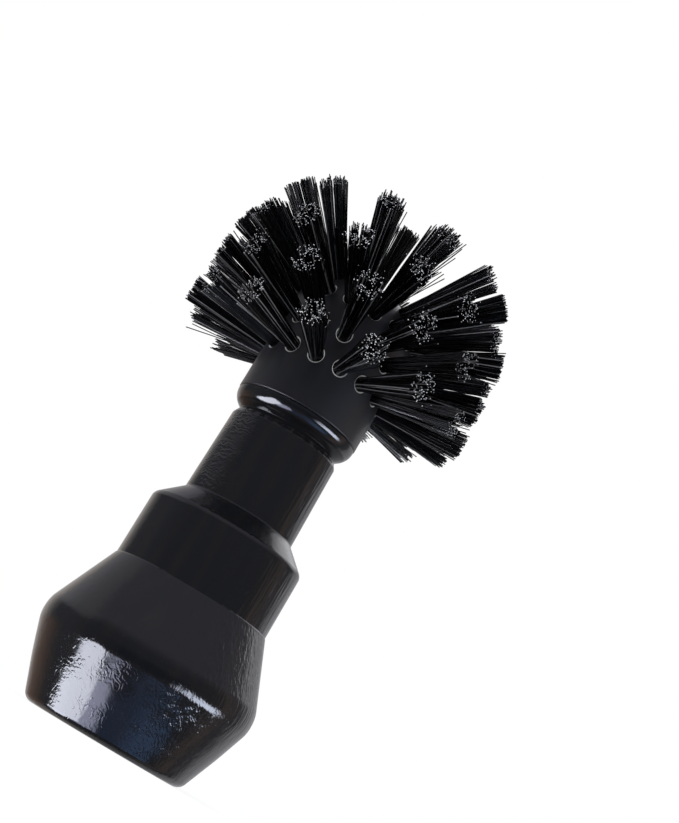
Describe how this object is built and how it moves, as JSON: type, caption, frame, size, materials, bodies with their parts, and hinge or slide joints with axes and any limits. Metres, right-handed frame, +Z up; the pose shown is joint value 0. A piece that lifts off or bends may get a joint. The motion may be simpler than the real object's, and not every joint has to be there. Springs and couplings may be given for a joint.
{
  "type": "portafilter cleaning brush",
  "caption": "Hand brush with a turned lacquered handle, a drilled dome head and rows of trimmed nylon tufts, for cleaning a coffee basket.",
  "frame": {"origin": "centre of the flat base that the brush stands on", "axes": "+Z up the handle's turning axis to the bristles, -Y towards the viewer of the picture, +X to the right"},
  "size_m": [0.052, 0.052, 0.1021],
  "materials": {
    "handle": "black gloss lacquer over turned wood",
    "bristle": "black nylon filament, cut ends",
    "anchor": "drawn flat wire"
  },
  "bodies": {
    "root": {"handle": "handle", "tufts_row_1": "bristle", "tufts_row_2": "bristle", "tufts_row_3": "bristle", "tufts_row_4": "bristle", "tufts_crown": "bristle", "anchors_row_1": "anchor", "anchors_row_2": "anchor", "anchors_row_3": "anchor", "anchors_row_4": "anchor", "anchors_crown": "anchor"}
  },
  "joints": []
}
